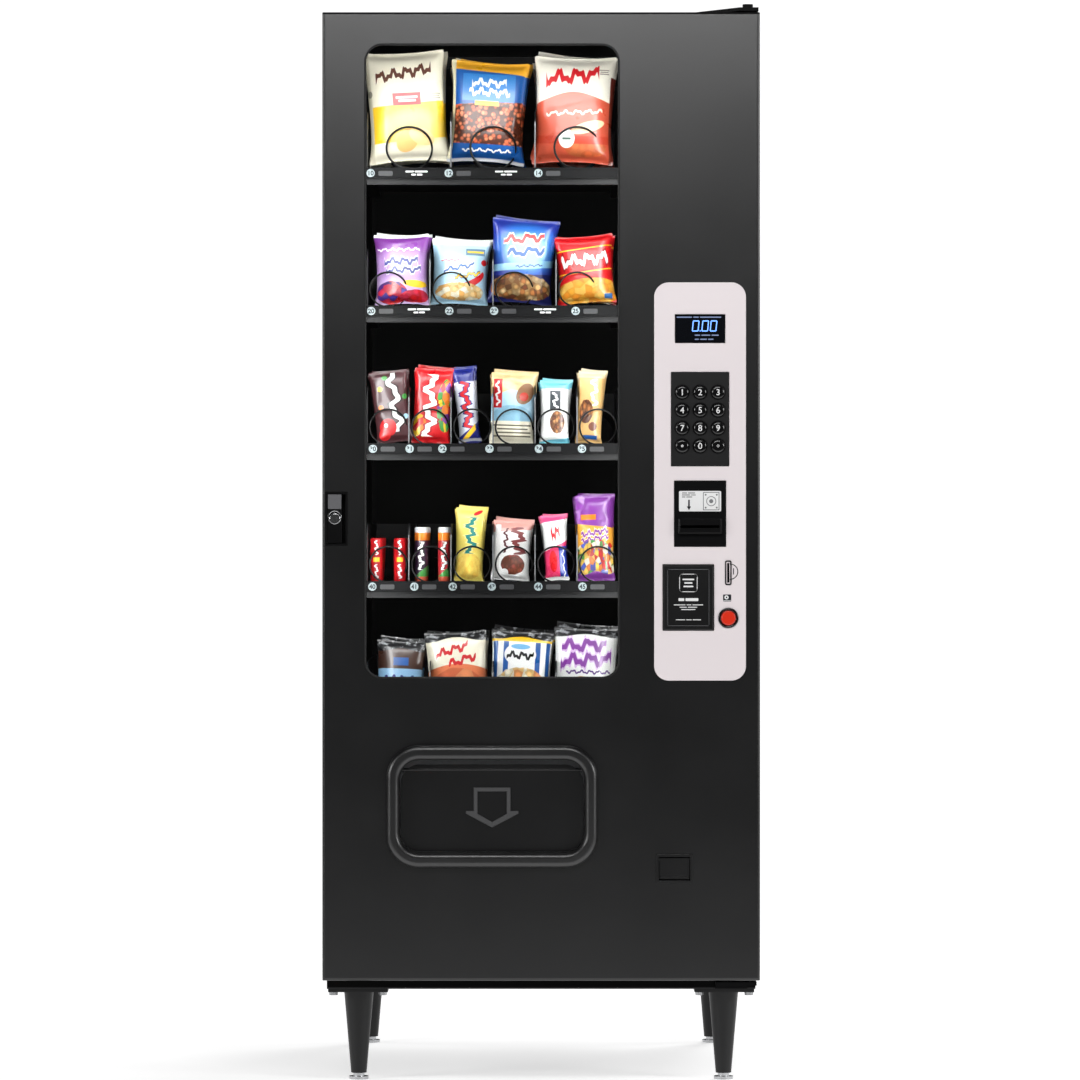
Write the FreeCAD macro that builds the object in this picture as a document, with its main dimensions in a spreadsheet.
"""A snack vending machine: a steel cabinet on four legs, a hinged door with a window and a payment panel,
and five trays of motor-driven wire spirals. Millimetres, +Z up, the front faces -Y, the origin is on the floor
under the middle of the machine."""

import FreeCAD, Part
import os
import re

# ---------------------------------------------------------------- driving dimensions
DIMS = {
    # cabinet and door
    "case_width": 749,
    "case_top": 1837,
    "door_bottom": 180,
    "base_bottom": 160,
    "face_y": -430.5,
    "rear_y": 444.5,
    "door_depth": 62,
    "door_gap": 8,
    "sheet_steel": 2,
    "cabinet_inset": 2,
    "skirt_inset": 3,
    "return_flange": 24,
    "edge_round": 5,
    "liner_left": -316,
    "liner_right": 148,
    # hinges
    "hinge_x": 354.5,
    "hinge_y": -396.5,
    "pin_radius": 5,
    "pin_play": 0.3,
    "hinge_plate": 6,
    # legs
    "leg_x": 316,
    "front_leg_y": -302,
    "rear_leg_y": 386,
    "leg_top_radius": 25.8,
    "leg_foot_radius": 13.5,
    "leg_plate": 103,
    "leg_plate_thick": 6,
    "leg_bolt_offset": 42.5,
    "bolt_radius": 4,
    "bolt_hole_radius": 4.5,
    "bolt_head_radius": 7.5,
    "bolt_head_tall": 5.5,
    "foot_radius": 17,
    "foot_tall": 5,
    "foot_hub_tall": 6,
    "foot_stem_radius": 6,
    "foot_stem_tall": 36,
    # window
    "window_x": -84,
    "window_z": 1240,
    "window_width": 435,
    "window_tall": 1084,
    "window_round": 30,
    "glass_margin": 14,
    "glass_thick": 5,
    # control panel and what it carries
    "panel_x": 271.7,
    "panel_z": 1034.2,
    "panel_width": 157,
    "panel_tall": 681,
    "panel_round": 25,
    "panel_thick": 2.5,
    "part_play": 0.3,
    "display_z": 1295.5,
    "display_width": 85.4,
    "display_tall": 48.6,
    "display_deep": 22,
    "keypad_z": 1140.8,
    "keypad_width": 99,
    "keypad_tall": 160.8,
    "keypad_thick": 4,
    "key_pitch": 30.6,
    "key_radius": 12,
    "key_play": 0.5,
    "key_proud": 5.5,
    "key_flange": 13.6,
    "validator_z": 979,
    "validator_width": 88.4,
    "validator_tall": 112.7,
    "validator_deep": 96,
    "mouth_z": 958,
    "mouth_width": 75,
    "mouth_tall": 27,
    "mouth_proud": 10,
    "badge_x": 251.7,
    "badge_z": 835.7,
    "badge_width": 87.5,
    "badge_tall": 113,
    "badge_frame": 7,
    "coin_x": 320,
    "coin_slot_z": 878,
    "coin_slot_width": 3.4,
    "coin_slot_tall": 33,
    "return_z": 800.8,
    "return_radius": 12.5,
    "return_proud": 5,
    # delivery opening
    "delivery_x": -84,
    "delivery_z": 478.5,
    "rim_width": 361.6,
    "rim_tall": 209.3,
    "rim_round": 56,
    "rim_proud": 14,
    "mouth_open_width": 317,
    "mouth_open_tall": 158.4,
    "mouth_open_round": 34,
    "sleeve_wall": 3,
    "sleeve_deep": 24,
    "flap_play": 2,
    "flap_top_gap": 8,
    "flap_y": -422,
    "flap_thick": 5,
    "flap_pivot_drop": 9,
    "flap_pin_radius": 3,
    "bin_half_width": 178,
    "bin_floor_z": 380,
    "bin_top_z": 580,
    "bin_deep": 140,
    # coin cup
    "cup_x": 228,
    "cup_z": 372,
    "cup_width": 64,
    "cup_tall": 50.5,
    "cup_lip": 3,
    "cup_wall": 2,
    "cup_deep": 46,
    "coin_flap_thick": 3,
    "coin_flap_pin": 1.5,
    # lock
    "lock_x": -350.4,
    "lock_z": 970.3,
    "lock_width": 39.8,
    "lock_tall": 92.8,
    "lock_deep": 26,
    "lock_block_x": -353.2,
    "lock_block_width": 25.2,
    "lock_block_tall": 83,
    "cylinder_x": -353.2,
    "cylinder_radius": 9.4,
    "cam_reach": 16,
    # trays
    "tray_x": -84,
    "tray_width": 440,
    "tray_front": -250,
    "tray_length": 560,
    "tray_pitch": 240,
    "top_tray_z": 1553,
    "tray_floor": 22,
    "tray_steel": 1.2,
    "lip_tall": 29,
    "lip_return": 15,
    "wall_tall": 107,
    "wall_round": 28,
    "divider_thick": 2,
    "rail_thick": 8,
    "rail_foot": 10,
    "runner_width": 20,
    "runner_tall": 12,
    # spirals and their motors
    "wide_radius": 37,
    "wide_wire": 1.9,
    "wide_pitch": 56,
    "wide_axis": 66,
    "mid_radius": 30.5,
    "slim_radius": 31,
    "slim_wire": 1.6,
    "slim_pitch": 34,
    "mid_pitch": 45,
    "slim_axis": 58,
    "spiral_inset": 8,
    "spiral_shift": 18,
    "arm_share": 1.3,
    "hub_radius": 9,
    "shaft_radius": 4,
    "shaft_play": 1,
    "motor_width": 52,
    "motor_tall": 60,
    "motor_deep": 34,
}

# Each tray, from the top: its columns, and which of the three spirals it holds.
TRAYS = ({"columns": 3, "kind": "wide"}, {"columns": 4, "kind": "mid"}, {"columns": 6, "kind": "slim"},
         {"columns": 6, "kind": "slim"}, {"columns": 4, "kind": "mid"})
SPIRALS = {
    "wide": {"turns": 9, "radius": "wide_radius", "wire": "wide_wire", "pitch": "wide_pitch", "axis": "wide_axis",
             "shift": "0"},
    "mid": {"turns": 11, "radius": "mid_radius", "wire": "slim_wire", "pitch": "mid_pitch", "axis": "slim_axis",
            "shift": "-spiral_shift"},
    "slim": {"turns": 15, "radius": "slim_radius", "wire": "slim_wire", "pitch": "slim_pitch", "axis": "slim_axis",
             "shift": "0"},
}
KEYS = (("key_1", "key_2", "key_3"), ("key_4", "key_5", "key_6"), ("key_7", "key_8", "key_9"),
        ("key_star", "key_0", "key_hash"))

# Heights and depths that several pieces share, written as sums of the cells above.
DOOR_BACK = "(face_y + door_depth)"
CABINET_FRONT = "(face_y + door_depth + door_gap)"
CABINET_TOP = "(case_top - cabinet_inset)"
CABINET_HALF = "(case_width/2 - cabinet_inset)"
SKIRT_FRONT = "(face_y + door_depth + door_gap + 4)"
PANEL_FACE = "(face_y - panel_thick)"
TRAY_BACK = "(tray_front + tray_length)"

doc = FreeCAD.newDocument("snack_vending_machine")
sheet = doc.addObject("Spreadsheet::Sheet", "Dims")
for row, (alias, size) in enumerate(DIMS.items(), start=1):
    sheet.set(f"A{row}", alias)
    sheet.set(f"B{row}", str(size))
    sheet.setAlias(f"B{row}", alias)
doc.recompute()

ALIAS = re.compile(r"\b(" + "|".join(sorted(DIMS, key=len, reverse=True)) + r")\b")
ALONG = {"x": FreeCAD.Rotation(FreeCAD.Vector(0, 1, 0), 90), "y": FreeCAD.Rotation(FreeCAD.Vector(1, 0, 0), -90),
         "z": FreeCAD.Rotation()}
subparts = []


# ---------------------------------------------------------------- helpers
def linked(text):
    """The expression text with each dimension's name pointing at its cell."""
    return ALIAS.sub(r"Dims.\1", str(text))


def number(text):
    """What an expression comes to, for laying out a sketch before its constraints are solved."""
    return float(sheet.evalExpression(linked(text)))


def bind(item, **sizes):
    for name, text in sizes.items():
        item.setExpression(name.replace("__", "."), linked(text))
    return item


def place(item, x, y, z):
    return bind(item, Placement__Base__x=x, Placement__Base__y=y, Placement__Base__z=z)


def box(x, y, z, dx, dy, dz):
    """A box from its lowest corner."""
    return place(bind(doc.addObject("Part::Box", "Box"), Length=dx, Width=dy, Height=dz), x, y, z)


def wide_box(x, y, z, dx, dy, dz):
    """A box centred on x and z, and starting at y."""
    return box(f"{x} - ({dx})/2", y, f"{z} - ({dz})/2", dx, dy, dz)


def rod(x, y, z, radius, length, along="z"):
    item = doc.addObject("Part::Cylinder", "Rod")
    item.Placement = FreeCAD.Placement(FreeCAD.Vector(), ALONG[along])
    return place(bind(item, Radius=radius, Height=length), x, y, z)


def fuse(*pieces):
    item = doc.addObject("Part::MultiFuse", "Fuse")
    item.Shapes = list(pieces)
    return item


def cut(base, *tools):
    item = doc.addObject("Part::Cut", "Cut")
    item.Base = base
    item.Tool = tools[0] if len(tools) == 1 else fuse(*tools)
    return item


def group(*pieces):
    item = doc.addObject("Part::Compound", "Group")
    item.Links = list(pieces)
    return item


def subpart(item, label):
    """Names a finished piece, so that it is checked and exported."""
    item.Label = label
    subparts.append(item)
    return item


def body():
    return doc.addObject("PartDesign::Body", "Body")


def sketch(owner, x, y, z, plane="XZ_Plane"):
    """A sketch whose origin is at x, y, z: on XZ it is drawn as seen from the front, on XY from above."""
    item = owner.newObject("Sketcher::SketchObject", "Sketch")
    base = [feature for feature in owner.Origin.OriginFeatures if feature.Role == plane][0]
    item.AttachmentSupport = (base, [""])
    item.MapMode = "FlatFace"
    across, up, out = {"XZ_Plane": (x, z, f"-({y})"), "XY_Plane": (x, y, z)}[plane]
    return bind(item, AttachmentOffset__Base__x=across, AttachmentOffset__Base__y=up, AttachmentOffset__Base__z=out)


def constrain(item, name, text, *constraint):
    import Sketcher
    index = item.addConstraint(Sketcher.Constraint(*constraint, number(text)))
    item.renameConstraint(index, name)
    item.setExpression(f"Constraints.{name}", linked(text))


def rounded_outline(item, width, tall, radius, tag="outer"):
    """A rounded rectangle centred on the sketch's origin."""
    import Sketcher
    w, t, r = number(width) / 2, number(tall) / 2, number(radius)
    corners = ((w - r, -t + r, 270), (w - r, t - r, 0), (-w + r, t - r, 90), (-w + r, -t + r, 180))
    arcs = []
    for x, y, start in corners:
        circle = Part.Circle(FreeCAD.Vector(x, y, 0), FreeCAD.Vector(0, 0, 1), r)
        turn = FreeCAD.Units.parseQuantity(f"{start} deg").getValueAs("rad").Value
        quarter = FreeCAD.Units.parseQuantity("90 deg").getValueAs("rad").Value
        arcs.append(item.addGeometry(Part.ArcOfCircle(circle, turn, turn + quarter)))
    ends = [item.getPoint(arc, 2) for arc in arcs]
    starts = [item.getPoint(arc, 1) for arc in arcs]
    for index, arc in enumerate(arcs):
        following = arcs[(index + 1) % 4]
        line = item.addGeometry(Part.LineSegment(ends[index], starts[(index + 1) % 4]))
        item.addConstraint(Sketcher.Constraint("Tangent", arc, 2, line, 1))
        item.addConstraint(Sketcher.Constraint("Tangent", line, 2, following, 1))
        item.addConstraint(Sketcher.Constraint("Horizontal" if index % 2 else "Vertical", line))
        if index:
            item.addConstraint(Sketcher.Constraint("Equal", arcs[0], arc))
    item.addConstraint(Sketcher.Constraint("Symmetric", arcs[3], 3, arcs[1], 3, -1, 1))
    constrain(item, tag + "_round", radius, "Radius", arcs[0])
    constrain(item, tag + "_width", f"{width} - 2*({radius})", "DistanceX", arcs[3], 3, arcs[0], 3)
    constrain(item, tag + "_tall", f"{tall} - 2*({radius})", "DistanceY", arcs[0], 3, arcs[1], 3)
    return item


def circle_outline(item, radius, x="0", y="0", tag="hole"):
    import Sketcher
    centre = FreeCAD.Vector(number(x), number(y), 0)
    index = item.addGeometry(Part.Circle(centre, FreeCAD.Vector(0, 0, 1), number(radius)))
    constrain(item, tag + "_radius", radius, "Radius", index)
    if (x, y) == ("0", "0"):
        item.addConstraint(Sketcher.Constraint("Coincident", index, 3, -1, 1))
    else:
        constrain(item, tag + "_x", x, "DistanceX", -1, 1, index, 3)
        constrain(item, tag + "_y", y, "DistanceY", -1, 1, index, 3)
    return item


def polygon_outline(item, points, tag="corner"):
    """Straight lines through the points, each an expression pair, with every corner held by its own distances."""
    import Sketcher
    spots = [FreeCAD.Vector(number(x), number(y), 0) for x, y in points]
    lines = [item.addGeometry(Part.LineSegment(a, b)) for a, b in zip(spots, spots[1:] + spots[:1])]
    for index, (line, (x, y)) in enumerate(zip(lines, points)):
        item.addConstraint(Sketcher.Constraint("Coincident", lines[index - 1], 2, line, 1))
        constrain(item, f"{tag}{index}_x", x, "DistanceX", -1, 1, line, 1)
        constrain(item, f"{tag}{index}_y", y, "DistanceY", -1, 1, line, 1)
    return item


def feature(owner, kind, outline, length):
    """A Pad towards the sketch's normal, which is the front for XZ, or a Pocket away from it."""
    item = owner.newObject(f"PartDesign::{kind}", kind)
    item.Profile = outline
    outline.Visibility = False
    bind(item, Length=length)
    doc.recompute()
    return item


def pad(owner, outline, length):
    return feature(owner, "Pad", outline, length)


def pocket(owner, outline, length):
    return feature(owner, "Pocket", outline, length)


def dress(owner, kind, size, wanted):
    """A Fillet or Chamfer on the tip's edges for which wanted(edge) is true."""
    base = owner.Tip
    names = [f"Edge{i}" for i, edge in enumerate(base.Shape.Edges, start=1) if wanted(edge)]
    item = owner.newObject(f"PartDesign::{kind}", kind)
    item.Base = (base, names)
    bind(item, **{"Radius" if kind == "Fillet" else "Size": size})
    doc.recompute()
    return item


def lies_at_y(y):
    """A test for edges that lie wholly in the plane at y."""
    level = number(y)
    return lambda edge: abs(edge.BoundBox.YMin - level) < 0.01 and abs(edge.BoundBox.YMax - level) < 0.01


def rounded_block(owner, x, y, z, width, tall, radius, deep, kind="Pad"):
    """A rounded-rectangle pad whose back is at y, or a pocket whose mouth is at y."""
    return feature(owner, kind, rounded_outline(sketch(owner, x, y, z), width, tall, radius), deep)


def tray_levels():
    """The height of each tray's lowest edge, as expressions, from the top tray down."""
    return [f"top_tray_z - {index}*tray_pitch" for index in range(len(TRAYS))]


def column_centres(columns):
    return [f"tray_x + tray_width*({2 * index + 1 - columns}/{2 * columns})" for index in range(columns)]


def leg_spots():
    return [(x, y) for x in ("-leg_x", "leg_x") for y in ("front_leg_y", "rear_leg_y")]


def leg_bolt_spots():
    return [(f"{x} + {i}*leg_bolt_offset", f"{y} + {j}*leg_bolt_offset") for x, y in leg_spots() for i in (-1, 1)
            for j in (-1, 1)]


# ---------------------------------------------------------------- cabinet
def cabinet_shell():
    """The folded steel wrap on its base skirt, the walls of the product compartment, and the tray runners."""
    tall = f"({CABINET_TOP} - door_bottom)"
    depth = f"rear_y - sheet_steel - {CABINET_FRONT}"
    outer = box(f"-{CABINET_HALF}", CABINET_FRONT, "door_bottom", f"2*{CABINET_HALF}", depth, tall)
    hollow = box(f"-{CABINET_HALF} + sheet_steel", f"{CABINET_FRONT} + sheet_steel", "door_bottom + sheet_steel",
                 f"2*{CABINET_HALF} - 2*sheet_steel", f"{depth} - 2*sheet_steel", f"{tall} - 2*sheet_steel")
    through = box(f"-{CABINET_HALF} + return_flange", f"{CABINET_FRONT} - 1", "door_bottom + return_flange",
                  f"2*{CABINET_HALF} - 2*return_flange", f"{depth} + 2", f"{tall} - 2*return_flange")
    shell = cut(outer, hollow, through)
    skirt_half, skirt_depth = f"({CABINET_HALF} - skirt_inset)", f"(rear_y - skirt_inset - {SKIRT_FRONT})"
    skirt_block = box(f"-{skirt_half}", SKIRT_FRONT, "base_bottom", f"2*{skirt_half}", skirt_depth,
                      "door_bottom - base_bottom")
    skirt_hollow = box(f"-{skirt_half} + sheet_steel", f"{SKIRT_FRONT} + sheet_steel", "base_bottom + sheet_steel",
                       f"2*{skirt_half} - 2*sheet_steel", f"{skirt_depth} - 2*sheet_steel",
                       "door_bottom - base_bottom - sheet_steel")
    skirt = cut(skirt_block, skirt_hollow)
    walls = [box(x, f"{CABINET_FRONT} + 2*sheet_steel", "door_bottom + 1", "sheet_steel",
                 f"{depth} - 4*sheet_steel", f"{tall} - 2") for x in ("liner_left - sheet_steel", "liner_right")]
    runners = [box(x, "tray_front + 10", f"{level} + tray_floor - tray_steel - runner_tall", "runner_width",
                   "tray_length - 20", "runner_tall")
               for level in tray_levels() for x in ("liner_left", "liner_right - runner_width")]
    holes = [rod(x, y, "base_bottom - 1", "bolt_hole_radius", "sheet_steel + 2") for x, y in leg_bolt_spots()]
    return cut(fuse(shell, skirt, *walls, *runners), *holes)


def back_panel():
    """The rear sheet, with two banks of vent slots and a cable hole."""
    panel = body()
    middle = f"({CABINET_TOP} + door_bottom)/2"
    rounded_block(panel, "0", "rear_y", middle, f"2*{CABINET_HALF}", f"{CABINET_TOP} - door_bottom", "4",
                  "sheet_steel")
    for z in ("case_top - 120", "door_bottom + 90"):
        slot = rounded_outline(sketch(panel, "-200", "rear_y - sheet_steel", z), "8", "70", "3.9")
        first = pocket(panel, slot, "sheet_steel")
        row = panel.newObject("PartDesign::LinearPattern", "Vents")
        row.Originals = [first]
        row.Direction = (slot, ["H_Axis"])
        row.Length = 400
        row.Occurrences = 21
        panel.Tip = row
        doc.recompute()
    hole = circle_outline(sketch(panel, "300", "rear_y - sheet_steel", "door_bottom + 60"), "12")
    pocket(panel, hole, "sheet_steel")
    return panel


def leg(x, y):
    """A tapered steel leg welded under a square plate, bored for the levelling stem."""
    foot_top = "foot_tall + foot_hub_tall"
    plate = box(f"{x} - leg_plate/2", f"{y} - leg_plate/2", "base_bottom - leg_plate_thick", "leg_plate", "leg_plate",
                "leg_plate_thick")
    cone = doc.addObject("Part::Cone", "Taper")
    bind(cone, Radius1="leg_foot_radius", Radius2="leg_top_radius",
         Height=f"base_bottom - leg_plate_thick - ({foot_top})")
    place(cone, x, y, foot_top)
    bore = rod(x, y, "foot_tall", "foot_stem_radius + 0.3", "foot_stem_tall + 8")
    holes = [rod(f"{x} + {i}*leg_bolt_offset", f"{y} + {j}*leg_bolt_offset", "base_bottom - leg_plate_thick - 1",
                 "bolt_hole_radius", "leg_plate_thick + 2") for i in (-1, 1) for j in (-1, 1)]
    return cut(fuse(plate, cone), bore, *holes)


def levelling_foot(x, y):
    """A round pad and hub turned in one piece with a stem that goes up the leg."""
    pad_disc = rod(x, y, "0", "foot_radius", "foot_tall")
    hub = rod(x, y, "foot_tall - 1", "foot_radius - 7", "foot_hub_tall + 1")
    stem = rod(x, y, "foot_tall", "foot_stem_radius", "foot_stem_tall")
    return fuse(pad_disc, hub, stem)


def leg_bolt(x, y):
    """A hexagon-head bolt pushed up through the leg plate and the base."""
    head = doc.addObject("Part::Prism", "Head")
    head.Polygon = 6
    bind(head, Circumradius="bolt_head_radius", Height="bolt_head_tall")
    place(head, x, y, "base_bottom - leg_plate_thick - bolt_head_tall")
    shank = rod(x, y, "base_bottom - leg_plate_thick - 1", "bolt_radius", "leg_plate_thick + 12")
    return fuse(head, shank)


def hinge_brackets():
    """The plates above and below the door, each with the pin that the door turns on."""
    upper = body()
    plate_z = "case_top + 4"
    outline = [("hinge_x + 18", "hinge_y - 14"), ("hinge_x - 14", "hinge_y - 14"), ("hinge_x - 92", "hinge_y + 86"),
               ("hinge_x - 92", "hinge_y + 110"), ("hinge_x + 18", "hinge_y + 110")]
    pad(upper, polygon_outline(sketch(upper, "0", "0", plate_z, "XY_Plane"), outline), "hinge_plate")
    seat = box("hinge_x - 92", f"{CABINET_FRONT} + 20", CABINET_TOP, "110",
               f"hinge_y + 90 - {CABINET_FRONT}", f"{plate_z} - {CABINET_TOP}")
    upper_pin = rod("hinge_x", "hinge_y", "case_top - 24", "pin_radius", "28 + hinge_plate")
    head = rod("hinge_x", "hinge_y", f"{plate_z} + hinge_plate", "pin_radius + 4", "6")
    plate_z = "door_bottom - 4 - hinge_plate"
    leaf = box("hinge_x - 55", "hinge_y - 14", plate_z, "70", f"{SKIRT_FRONT} - hinge_y + 14", "hinge_plate")
    tab = box("hinge_x - 55", f"{SKIRT_FRONT} - 5", "base_bottom + 1", "56", "5", f"{plate_z} - base_bottom - 1")
    lower_pin = rod("hinge_x", "hinge_y", plate_z, "pin_radius", "hinge_plate + 24")
    return group(fuse(upper, seat, upper_pin, head), fuse(leaf, tab, lower_pin))


# ---------------------------------------------------------------- trays, spirals and motors
def tray(level):
    """A folded steel tray: floor, two side walls, a slotted rear wall for the motors, and a front lip."""
    left = "tray_x - tray_width/2"
    floor = box(left, "tray_front", f"{level} + tray_floor - tray_steel", "tray_width", "tray_length", "tray_steel")
    lip = box(left, "tray_front", level, "tray_width", "tray_steel", "lip_tall")
    hem = box(left, "tray_front", level, "tray_width", "lip_return", "tray_steel")
    rear = box(left, f"{TRAY_BACK} - tray_steel", f"{level} + tray_floor - tray_steel", "tray_width", "tray_steel",
               "wall_tall + tray_steel")
    slot = box(f"{left} + 14", f"{TRAY_BACK} - 2*tray_steel", f"{level} + tray_floor + 24", "tray_width - 28",
               "3*tray_steel", "34")
    walls = [upright(x, f"{level} + tray_floor - tray_steel", "tray_steel", "wall_tall + tray_steel")
             for x in (left, "tray_x + tray_width/2 - tray_steel")]
    return cut(fuse(floor, lip, hem, rear, *walls), slot)


def upright(x, z, thick, tall):
    """A thin upright sheet along the tray, with its top front corner rounded."""
    sheet_box = box(x, "tray_front + tray_steel + 3", z, thick, "tray_length - 2*tray_steel - 4", tall)
    doc.recompute()
    shape = sheet_box.Shape
    corner = [index for index, edge in enumerate(shape.Edges, start=1)
              if abs(edge.BoundBox.YMax - shape.BoundBox.YMin) < 0.01
              and abs(edge.BoundBox.ZMin - shape.BoundBox.ZMax) < 0.01][0]
    item = doc.addObject("Part::Fillet", "Upright")
    item.Base = sheet_box
    item.Edges = [(corner, number("wall_round"), number("wall_round"))]
    return item


def tray_dividers():
    """The upright sheets that part the columns of each tray."""
    pieces = []
    for level, tray_row in zip(tray_levels(), TRAYS):
        columns = tray_row["columns"]
        for index in range(1, columns):
            x = f"tray_x - tray_width/2 + tray_width*{index}/{columns} - divider_thick/2"
            pieces.append(upright(x, f"{level} + tray_floor", "divider_thick", "wall_tall"))
    return group(*pieces)


def price_rail(level):
    """The moulded strip on a tray's lip, with a channel that holds the selection numbers."""
    strip = body()
    middle = f"{level} + (rail_foot + lip_tall)/2"
    rounded_block(strip, "tray_x", "tray_front", middle, "tray_width", "lip_tall - rail_foot", "1", "rail_thick")
    rounded_block(strip, "tray_x", "tray_front - rail_thick", middle, "tray_width - 4", "lip_tall - rail_foot - 5",
                  "0.8", "1", "Pocket")
    return strip


def half_turn(kind, index):
    """One half-turn of wire: half a ring, tilted so that its ends are half a pitch apart. Even ones rise on the left
    and odd ones fall on the right, so that the coil runs clockwise and away from the front."""
    size = SPIRALS[kind]
    side = -1 if index % 2 == 0 else 1
    quarter, radius = number(size["pitch"]) / 4, number(size["radius"])
    start = FreeCAD.Vector(0, -quarter, side * radius)
    bulge = FreeCAD.Vector(side, 0, 0)
    ring = doc.addObject("Part::Torus", "HalfTurn")
    ring.Placement.Rotation = FreeCAD.Rotation(start, bulge, start.cross(bulge), "XYZ")
    ring.Angle3 = 180
    bind(ring, Radius1=f"sqrt(({size['radius']})^2 + ({size['pitch']}/4)^2)", Radius2=size["wire"])
    return place(ring, "0", f"{size['pitch']}*{(2 * index + 1) / 4}", "0")


def spiral(kind):
    """A coil of wire along +Y from the origin, with the arm, hub and drive shaft at its rear end."""
    size = SPIRALS[kind]
    turns = size["turns"]
    coil_end = f"({turns}*{size['pitch']})"
    hub_end = "(tray_length - 20 - spiral_inset)"
    arm_radius = f"(arm_share*{size['wire']})"
    half_turns = [half_turn(kind, index) for index in range(2 * turns)]
    arm = rod("0", coil_end, f"-{size['radius']} - {arm_radius}", arm_radius, f"{size['radius']} + {arm_radius}")
    hub = rod("0", f"{coil_end} - 6", "0", "hub_radius", f"{hub_end} - {coil_end} + 6", "y")
    shaft = rod("0", f"{hub_end} - 1", "0", "shaft_radius", "21 + 16", "y")
    return fuse(*half_turns, arm, hub, shaft)


def spiral_motor(x, axis_z):
    """The gear motor behind a column, with the socket that takes the spiral's shaft."""
    case = box(f"{x} - motor_width/2", TRAY_BACK, f"{axis_z} - motor_tall/2 + 4", "motor_width", "motor_deep",
               "motor_tall")
    socket = rod(x, f"{TRAY_BACK} - 1", axis_z, "shaft_radius + shaft_play", "21", "y")
    return cut(case, socket)


# ---------------------------------------------------------------- door
def door_shell():
    """The folded steel door skin: a shallow tray open at the back, with openings for all that it carries."""
    middle, tall = "(case_top + door_bottom)/2", "(case_top - door_bottom)"
    skin = body()
    pad(skin, rounded_outline(sketch(skin, "0", DOOR_BACK, middle), "case_width", tall, "1.5"), "door_depth")
    dress(skin, "Fillet", "edge_round", lies_at_y("face_y"))
    hollow = wide_box("0", "face_y + sheet_steel", middle, "case_width - 2*sheet_steel",
                      "door_depth - 2*sheet_steel", f"{tall} - 2*sheet_steel")
    rear = wide_box("0", f"{DOOR_BACK} - 2*sheet_steel", middle, "case_width - 2*return_flange", "3*sheet_steel",
                    f"{tall} - 2*return_flange")
    pins = [rod("hinge_x", "hinge_y", z, "pin_radius + pin_play", "4*sheet_steel")
            for z in ("case_top - 3*sheet_steel", "door_bottom - sheet_steel")]
    tub = cut(skin, hollow, rear, *pins)
    openings = (
        ("window_x", "window_z", "window_width", "window_tall", "window_round"),
        ("panel_x", "panel_z", "panel_width - 20", "panel_tall - 26", "10"),
        ("delivery_x", "delivery_z", "mouth_open_width + 2*sleeve_wall + 2", "mouth_open_tall + 2*sleeve_wall + 2",
         "mouth_open_round + sleeve_wall + 1"),
        ("cup_x", "cup_z", "cup_width - 2*cup_lip + 1", "cup_tall - 2*cup_lip + 1", "3"),
        ("lock_x", "lock_z", "lock_width - 5", "lock_tall - 5", "2"),
    )
    cutters = []
    for x, z, width, high, radius in openings:
        cutter = body()
        rounded_block(cutter, x, "face_y + 2*sheet_steel", z, width, high, radius, "4*sheet_steel")
        cutters.append(cutter)
    return cut(tub, *cutters)


def window_glass():
    pane = body()
    rounded_block(pane, "window_x", "face_y + sheet_steel + glass_thick", "window_z", "window_width + 2*glass_margin",
                  "window_tall + 2*glass_margin", "window_round + glass_margin/2", "glass_thick")
    return pane


def control_panel():
    """The pale plate on the right of the door, cut out for what it carries."""
    plate = body()
    rounded_block(plate, "panel_x", "face_y", "panel_z", "panel_width", "panel_tall", "panel_round", "panel_thick")
    cut_outs = (
        ("panel_x", "display_z", "display_width", "display_tall"),
        ("panel_x", "keypad_z", "keypad_width", "keypad_tall"),
        ("panel_x", "validator_z", "validator_width", "validator_tall"),
        ("badge_x", "badge_z", "badge_width", "badge_tall"),
        ("coin_x", "coin_slot_z", "coin_slot_width", "coin_slot_tall"),
    )
    for x, z, width, tall in cut_outs:
        rounded_block(plate, x, PANEL_FACE, z, f"{width} + 2*part_play", f"{tall} + 2*part_play", "0.9",
                      "panel_thick", "Pocket")
    pocket(plate, circle_outline(sketch(plate, "coin_x", PANEL_FACE, "return_z"), "return_radius + key_play"),
           "panel_thick")
    dress(plate, "Chamfer", "0.6", lies_at_y(PANEL_FACE))
    return plate


def display_module():
    """A small screen in a black case, with the screen set back from the case's front."""
    module = body()
    front = f"{PANEL_FACE} - 0.8"
    rounded_block(module, "panel_x", f"{front} + display_deep", "display_z", "display_width", "display_tall", "1",
                  "display_deep")
    rounded_block(module, "panel_x", front, "display_z", "display_width - 3", "display_tall - 3", "0.8", "0.8",
                  "Pocket")
    return module


def key_spots():
    for row, names in enumerate(KEYS):
        for column, name in enumerate(names):
            yield name, f"panel_x + {column - 1}*key_pitch", f"keypad_z + {1.5 - row}*key_pitch"


def keypad_bezel():
    """The black plate round the keys, drilled for each of them."""
    plate = body()
    front = f"{PANEL_FACE} - 1"
    rounded_block(plate, "panel_x", f"{front} + keypad_thick", "keypad_z", "keypad_width", "keypad_tall", "1",
                  "keypad_thick")
    holes = sketch(plate, "panel_x", front, "keypad_z")
    for index, (_, x, z) in enumerate(key_spots()):
        circle_outline(holes, "key_radius + key_play", f"{x} - panel_x", f"{z} - keypad_z", f"key{index}")
    pocket(plate, holes, "keypad_thick")
    dress(plate, "Chamfer", "0.5", lies_at_y(front))
    return plate


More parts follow.
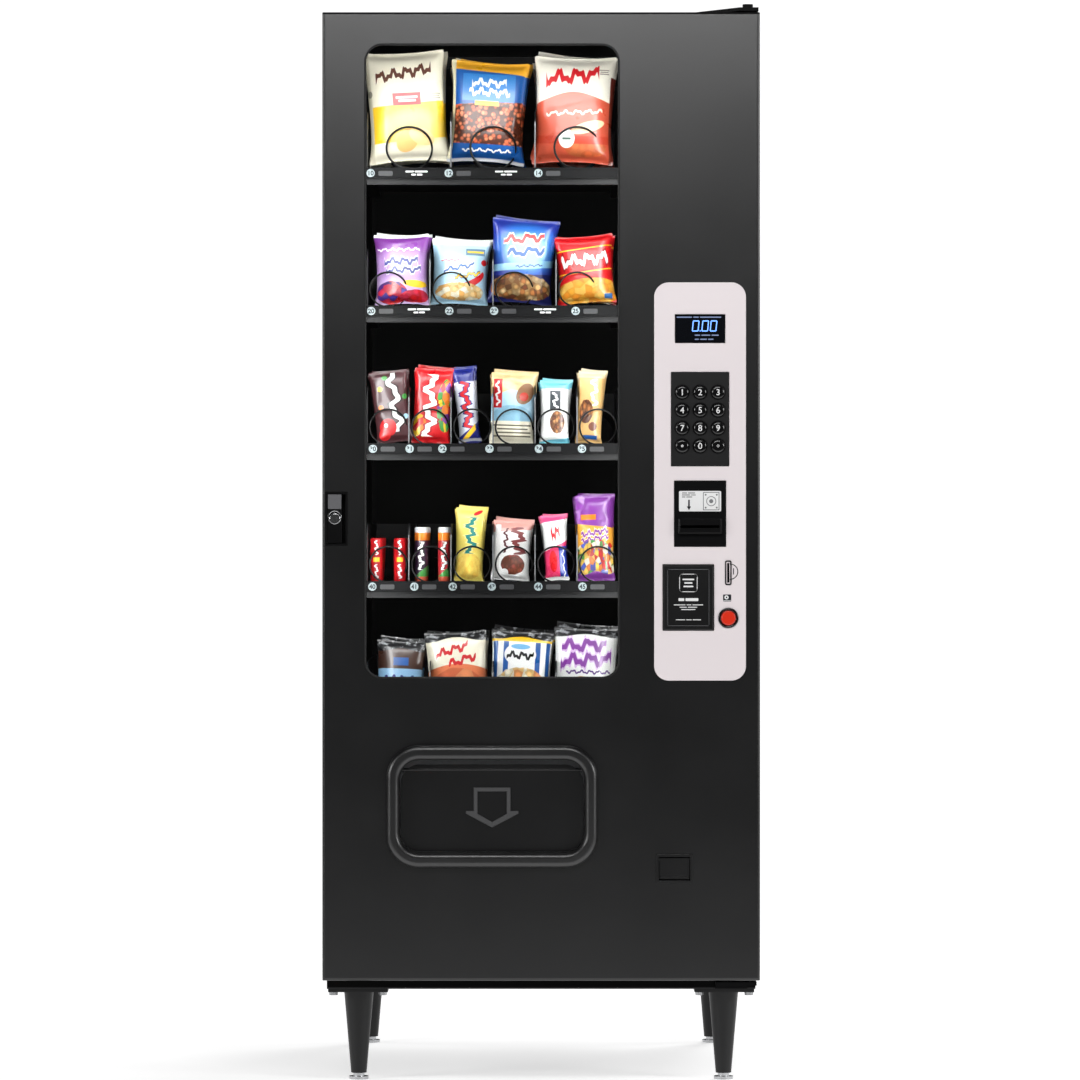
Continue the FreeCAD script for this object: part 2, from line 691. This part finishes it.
def key(x, z):
    """A round key with a crowned face and a flange behind the bezel."""
    item = body()
    front = f"{PANEL_FACE} - 1"
    back = f"{front} + keypad_thick + key_play"
    stem = circle_outline(sketch(item, x, back, z), "key_radius")
    pad(item, stem, f"{back} - ({front}) + key_proud")
    flange = circle_outline(sketch(item, x, f"{back} + 2", z), "key_flange")
    pad(item, flange, "2")
    dress(item, "Fillet", "key_proud - 0.6", lies_at_y(f"{front} - key_proud"))
    return item


def bill_validator():
    """The note reader: a black face with a label recess and a slotted mouth, and the reader's box behind it."""
    reader = body()
    front = f"{PANEL_FACE} - 1.5"
    rounded_block(reader, "panel_x", f"{front} + 6", "validator_z", "validator_width", "validator_tall", "1.5", "6")
    dress(reader, "Chamfer", "1", lies_at_y(front))
    rounded_block(reader, "panel_x", f"{front} + 6 + validator_deep", "validator_z", "validator_width - 10",
                  "validator_tall - 10", "3", "validator_deep")
    rounded_block(reader, "panel_x", front, "mouth_z", "mouth_width", "mouth_tall", "3", "mouth_proud")
    dress(reader, "Chamfer", "3", lies_at_y(f"{front} - mouth_proud"))
    rounded_block(reader, "panel_x", f"{front} - mouth_proud", "mouth_z - 1", "mouth_width - 8", "5", "1.5", "30",
                  "Pocket")
    rounded_block(reader, "panel_x", front, "validator_z + 21.5", "73", "36", "2", "0.6", "Pocket")
    return reader


def info_panel():
    """The framed black plate that fills the card reader's opening."""
    plate = body()
    front = f"{PANEL_FACE} - 3"
    rounded_block(plate, "badge_x", f"{front} + 8", "badge_z", "badge_width", "badge_tall", "3.5", "8")
    dress(plate, "Chamfer", "2.4", lies_at_y(front))
    rounded_block(plate, "badge_x", front, "badge_z", "badge_width - 2*badge_frame", "badge_tall - 2*badge_frame",
                  "1", "1.6", "Pocket")
    return plate


def coin_return_button():
    """The round plunger of the coin return, crowned, with a flange behind the panel."""
    item = body()
    front = f"{PANEL_FACE} - return_proud"
    pad(item, circle_outline(sketch(item, "coin_x", "face_y + 4.5", "return_z"), "return_radius"),
        f"face_y + 4.5 - ({front})")
    pad(item, circle_outline(sketch(item, "coin_x", "face_y + 6.5", "return_z"), "return_radius + 2.5"), "2")
    dress(item, "Fillet", "2.5", lies_at_y(front))
    return item


def coin_cup():
    """The small cup that returned coins fall into: a lip on the door, and a closed box behind it."""
    cup = body()
    inner_width, inner_tall = "cup_width - 2*cup_lip - 2*cup_wall", "cup_tall - 2*cup_lip - 2*cup_wall"
    rounded_block(cup, "cup_x", "face_y + cup_deep", "cup_z", "cup_width - 2*cup_lip", "cup_tall - 2*cup_lip", "2.5",
                  "cup_deep")
    rounded_block(cup, "cup_x", "face_y", "cup_z", "cup_width", "cup_tall", "3", "1.5")
    dress(cup, "Chamfer", "0.8", lies_at_y("face_y - 1.5"))
    rounded_block(cup, "cup_x", "face_y - 1.5", "cup_z", inner_width, inner_tall, "1.5", "cup_deep + 1.5 - cup_wall",
                  "Pocket")
    pin_z = "cup_z + cup_tall/2 - cup_lip - cup_wall - 5"
    holes = rod("cup_x - cup_width/2", "face_y + 3", pin_z, "coin_flap_pin + 0.4", "cup_width", "x")
    return cut(cup, holes)


def coin_flap():
    """The flap of the coin cup, hung on two pins at its top, with a finger ridge along the bottom."""
    flap = body()
    width = "cup_width - 2*cup_lip - 2*cup_wall - 2"
    tall = "cup_tall - 2*cup_lip - 2*cup_wall - 4"
    front = "face_y + 3 - coin_flap_thick/2"
    rounded_block(flap, "cup_x", f"{front} + coin_flap_thick", "cup_z", width, tall, "1.2", "coin_flap_thick")
    rounded_block(flap, "cup_x", front, f"cup_z - ({tall})/2 + 4", f"{width} - 4", "3", "1.2", "1.2")
    pin_z = "cup_z + cup_tall/2 - cup_lip - cup_wall - 5"
    pin = rod("cup_x - cup_width/2 + cup_lip + 0.4", "face_y + 3", pin_z, "coin_flap_pin", "cup_width - 2*cup_lip - 0.8",
              "x")
    return fuse(flap, pin)


# ---------------------------------------------------------------- delivery opening
def delivery_bezel():
    """The thick rounded rim round the delivery opening, with a sleeve through the door's skin."""
    rim = body()
    sleeve_size = ("mouth_open_width + 2*sleeve_wall", "mouth_open_tall + 2*sleeve_wall",
                   "mouth_open_round + sleeve_wall")
    rounded_block(rim, "delivery_x", "face_y", "delivery_z", "rim_width", "rim_tall", "rim_round", "rim_proud")
    rounded_block(rim, "delivery_x", "face_y + sleeve_deep", "delivery_z", *sleeve_size, "sleeve_deep")
    rounded_block(rim, "delivery_x", "face_y - rim_proud", "delivery_z", "mouth_open_width", "mouth_open_tall",
                  "mouth_open_round", "rim_proud + sleeve_deep", "Pocket")
    dress(rim, "Fillet", "9.5", lies_at_y("face_y - rim_proud"))
    pivot = rod("delivery_x - rim_width/2", "flap_y + flap_thick/2", flap_pivot_z(), "flap_pin_radius + 0.5",
                "rim_width", "x")
    return cut(rim, pivot)


def flap_top():
    return "(delivery_z + mouth_open_tall/2 - flap_top_gap)"


def flap_pivot_z():
    return f"{flap_top()} - flap_pivot_drop"


def delivery_flap():
    """The swinging flap of the delivery opening, with a raised arrow and two pivot pins."""
    flap = body()
    tall = "mouth_open_tall - flap_top_gap - flap_play"
    rounded_block(flap, "delivery_x", "flap_y + flap_thick", f"{flap_top()} - ({tall})/2",
                  "mouth_open_width - 2*flap_play", tall, "mouth_open_round - flap_play", "flap_thick")
    arrow = sketch(flap, "delivery_x", "flap_y", "delivery_z")
    polygon_outline(arrow, [("-31.5", "32"), ("31.5", "32"), ("31.5", "-8"), ("45", "-8"), ("45", "-13"),
                            ("0", "-37"), ("-45", "-13"), ("-45", "-8"), ("-31.5", "-8")], "outer")
    polygon_outline(arrow, [("-25", "25"), ("25", "25"), ("25", "-13"), ("0", "-27"), ("-25", "-13")], "inner")
    pad(flap, arrow, "2.4")
    dress(flap, "Chamfer", "1.1", lies_at_y("flap_y - 2.4"))
    pins = rod("delivery_x - mouth_open_width/2 - sleeve_wall + 0.4", "flap_y + flap_thick/2", flap_pivot_z(),
               "flap_pin_radius", "mouth_open_width + 2*sleeve_wall - 0.8", "x")
    return fuse(flap, pins)


def delivery_bin():
    """The open-topped box behind the delivery flap that vended packs fall into."""
    front = "face_y + sleeve_deep"
    outer = box("delivery_x - bin_half_width", front, "bin_floor_z", "2*bin_half_width", "bin_deep",
                "bin_top_z - bin_floor_z")
    inner = box("delivery_x - bin_half_width + sheet_steel", f"{front} - 1", "bin_floor_z + sheet_steel",
                "2*bin_half_width - 2*sheet_steel", "bin_deep + 1 - sheet_steel", "bin_top_z - bin_floor_z")
    return cut(outer, inner)


# ---------------------------------------------------------------- lock
def lock_housing():
    """The moulded recess at the door's edge, with the raised block that holds the lock cylinder."""
    cup = body()
    rounded_block(cup, "lock_x", "face_y + lock_deep", "lock_z", "lock_width - 6", "lock_tall - 6", "2", "lock_deep")
    rounded_block(cup, "lock_x", "face_y", "lock_z", "lock_width", "lock_tall", "2", "1.4")
    dress(cup, "Chamfer", "0.8", lies_at_y("face_y - 1.4"))
    rounded_block(cup, "lock_x", "face_y - 1.4", "lock_z", "lock_width - 8", "lock_tall - 8", "1.5",
                  "lock_deep + 1.4 - 3", "Pocket")
    rounded_block(cup, "lock_block_x", "face_y + lock_deep - 2", "lock_z", "lock_block_width", "lock_block_tall", "1.2",
                  "lock_deep - 1")
    dress(cup, "Chamfer", "0.7", lies_at_y("face_y - 1"))
    bore = rod("cylinder_x", "face_y - 3", "lock_z", "cylinder_radius + 0.3", "lock_deep + 8", "y")
    return cut(cup, bore)


def lock_cylinder():
    """A round-key lock barrel with its ring-shaped keyway, and the cam that it turns."""
    barrel = body()
    front, back = "face_y - 3", "face_y + lock_deep + 6"
    pad(barrel, circle_outline(sketch(barrel, "cylinder_x", back, "lock_z"), "cylinder_radius"), f"{back} - ({front})")
    dress(barrel, "Fillet", "1.2", lies_at_y(front))
    keyway = circle_outline(sketch(barrel, "cylinder_x", front, "lock_z"), "5.2")
    circle_outline(keyway, "3.1", tag="post")
    pocket(barrel, keyway, "7")
    notch = rounded_outline(sketch(barrel, "cylinder_x", front, "lock_z + 5.6"), "2.4", "3", "0.5")
    pocket(barrel, notch, "7")
    cam = box("cylinder_x - 6", back, "lock_z - 6", "12", "3", "6 + cam_reach")
    return fuse(barrel, cam)


# ---------------------------------------------------------------- build, check and export
def build():
    subpart(cabinet_shell(), "cabinet_shell")
    subpart(back_panel(), "back_panel")
    subpart(group(*[leg(x, y) for x, y in leg_spots()]), "legs")
    subpart(group(*[levelling_foot(x, y) for x, y in leg_spots()]), "levelling_feet")
    subpart(group(*[leg_bolt(x, y) for x, y in leg_bolt_spots()]), "leg_bolts")
    subpart(hinge_brackets(), "hinge_brackets")
    subpart(group(*[tray(level) for level in tray_levels()]), "trays")
    subpart(tray_dividers(), "tray_dividers")
    subpart(group(*[price_rail(level) for level in tray_levels()]), "price_rails")
    motors, spirals = [], {kind: spiral(kind) for kind in SPIRALS}
    for tray_number, (level, row) in enumerate(zip(tray_levels(), TRAYS), start=1):
        kind = row["kind"]
        for column, centre in enumerate(column_centres(row["columns"]), start=1):
            x, axis_z = f"{centre} + ({SPIRALS[kind]['shift']})", f"{level} + {SPIRALS[kind]['axis']}"
            motors.append(spiral_motor(x, axis_z))
            node = place(group(spirals[kind]), x, "tray_front + spiral_inset", axis_z)
            subpart(node, f"spiral_{tray_number}_{column}")
    subpart(group(*motors), "spiral_motors")
    for piece in (door_shell, window_glass, control_panel, display_module, keypad_bezel, bill_validator, info_panel,
                  coin_return_button, coin_cup, coin_flap, delivery_bezel, delivery_flap, delivery_bin, lock_housing,
                  lock_cylinder):
        subpart(piece(), piece.__name__)
    for name, x, z in key_spots():
        subpart(key(x, z), name)
    doc.recompute()


def check():
    """Stops if any object failed, or a sub-part's shape is missing, broken or empty."""
    failed = [item.Label for item in doc.Objects if {"Invalid", "Error"} & set(item.State)]
    if failed:
        raise SystemExit(f"these objects failed: {failed}")
    for item in subparts:
        shape = item.Shape
        if shape.isNull() or not shape.isValid() or not shape.Solids or shape.Volume <= 0:
            raise SystemExit(f"sub-part {item.Label} has no sound shape")


def export():
    os.makedirs("parts", exist_ok=True)
    for item in subparts:
        item.Shape.exportStep(os.path.join("parts", f"{item.Label}.step"))


build()
check()
export()
print(f"{len(subparts)} sub-parts written")
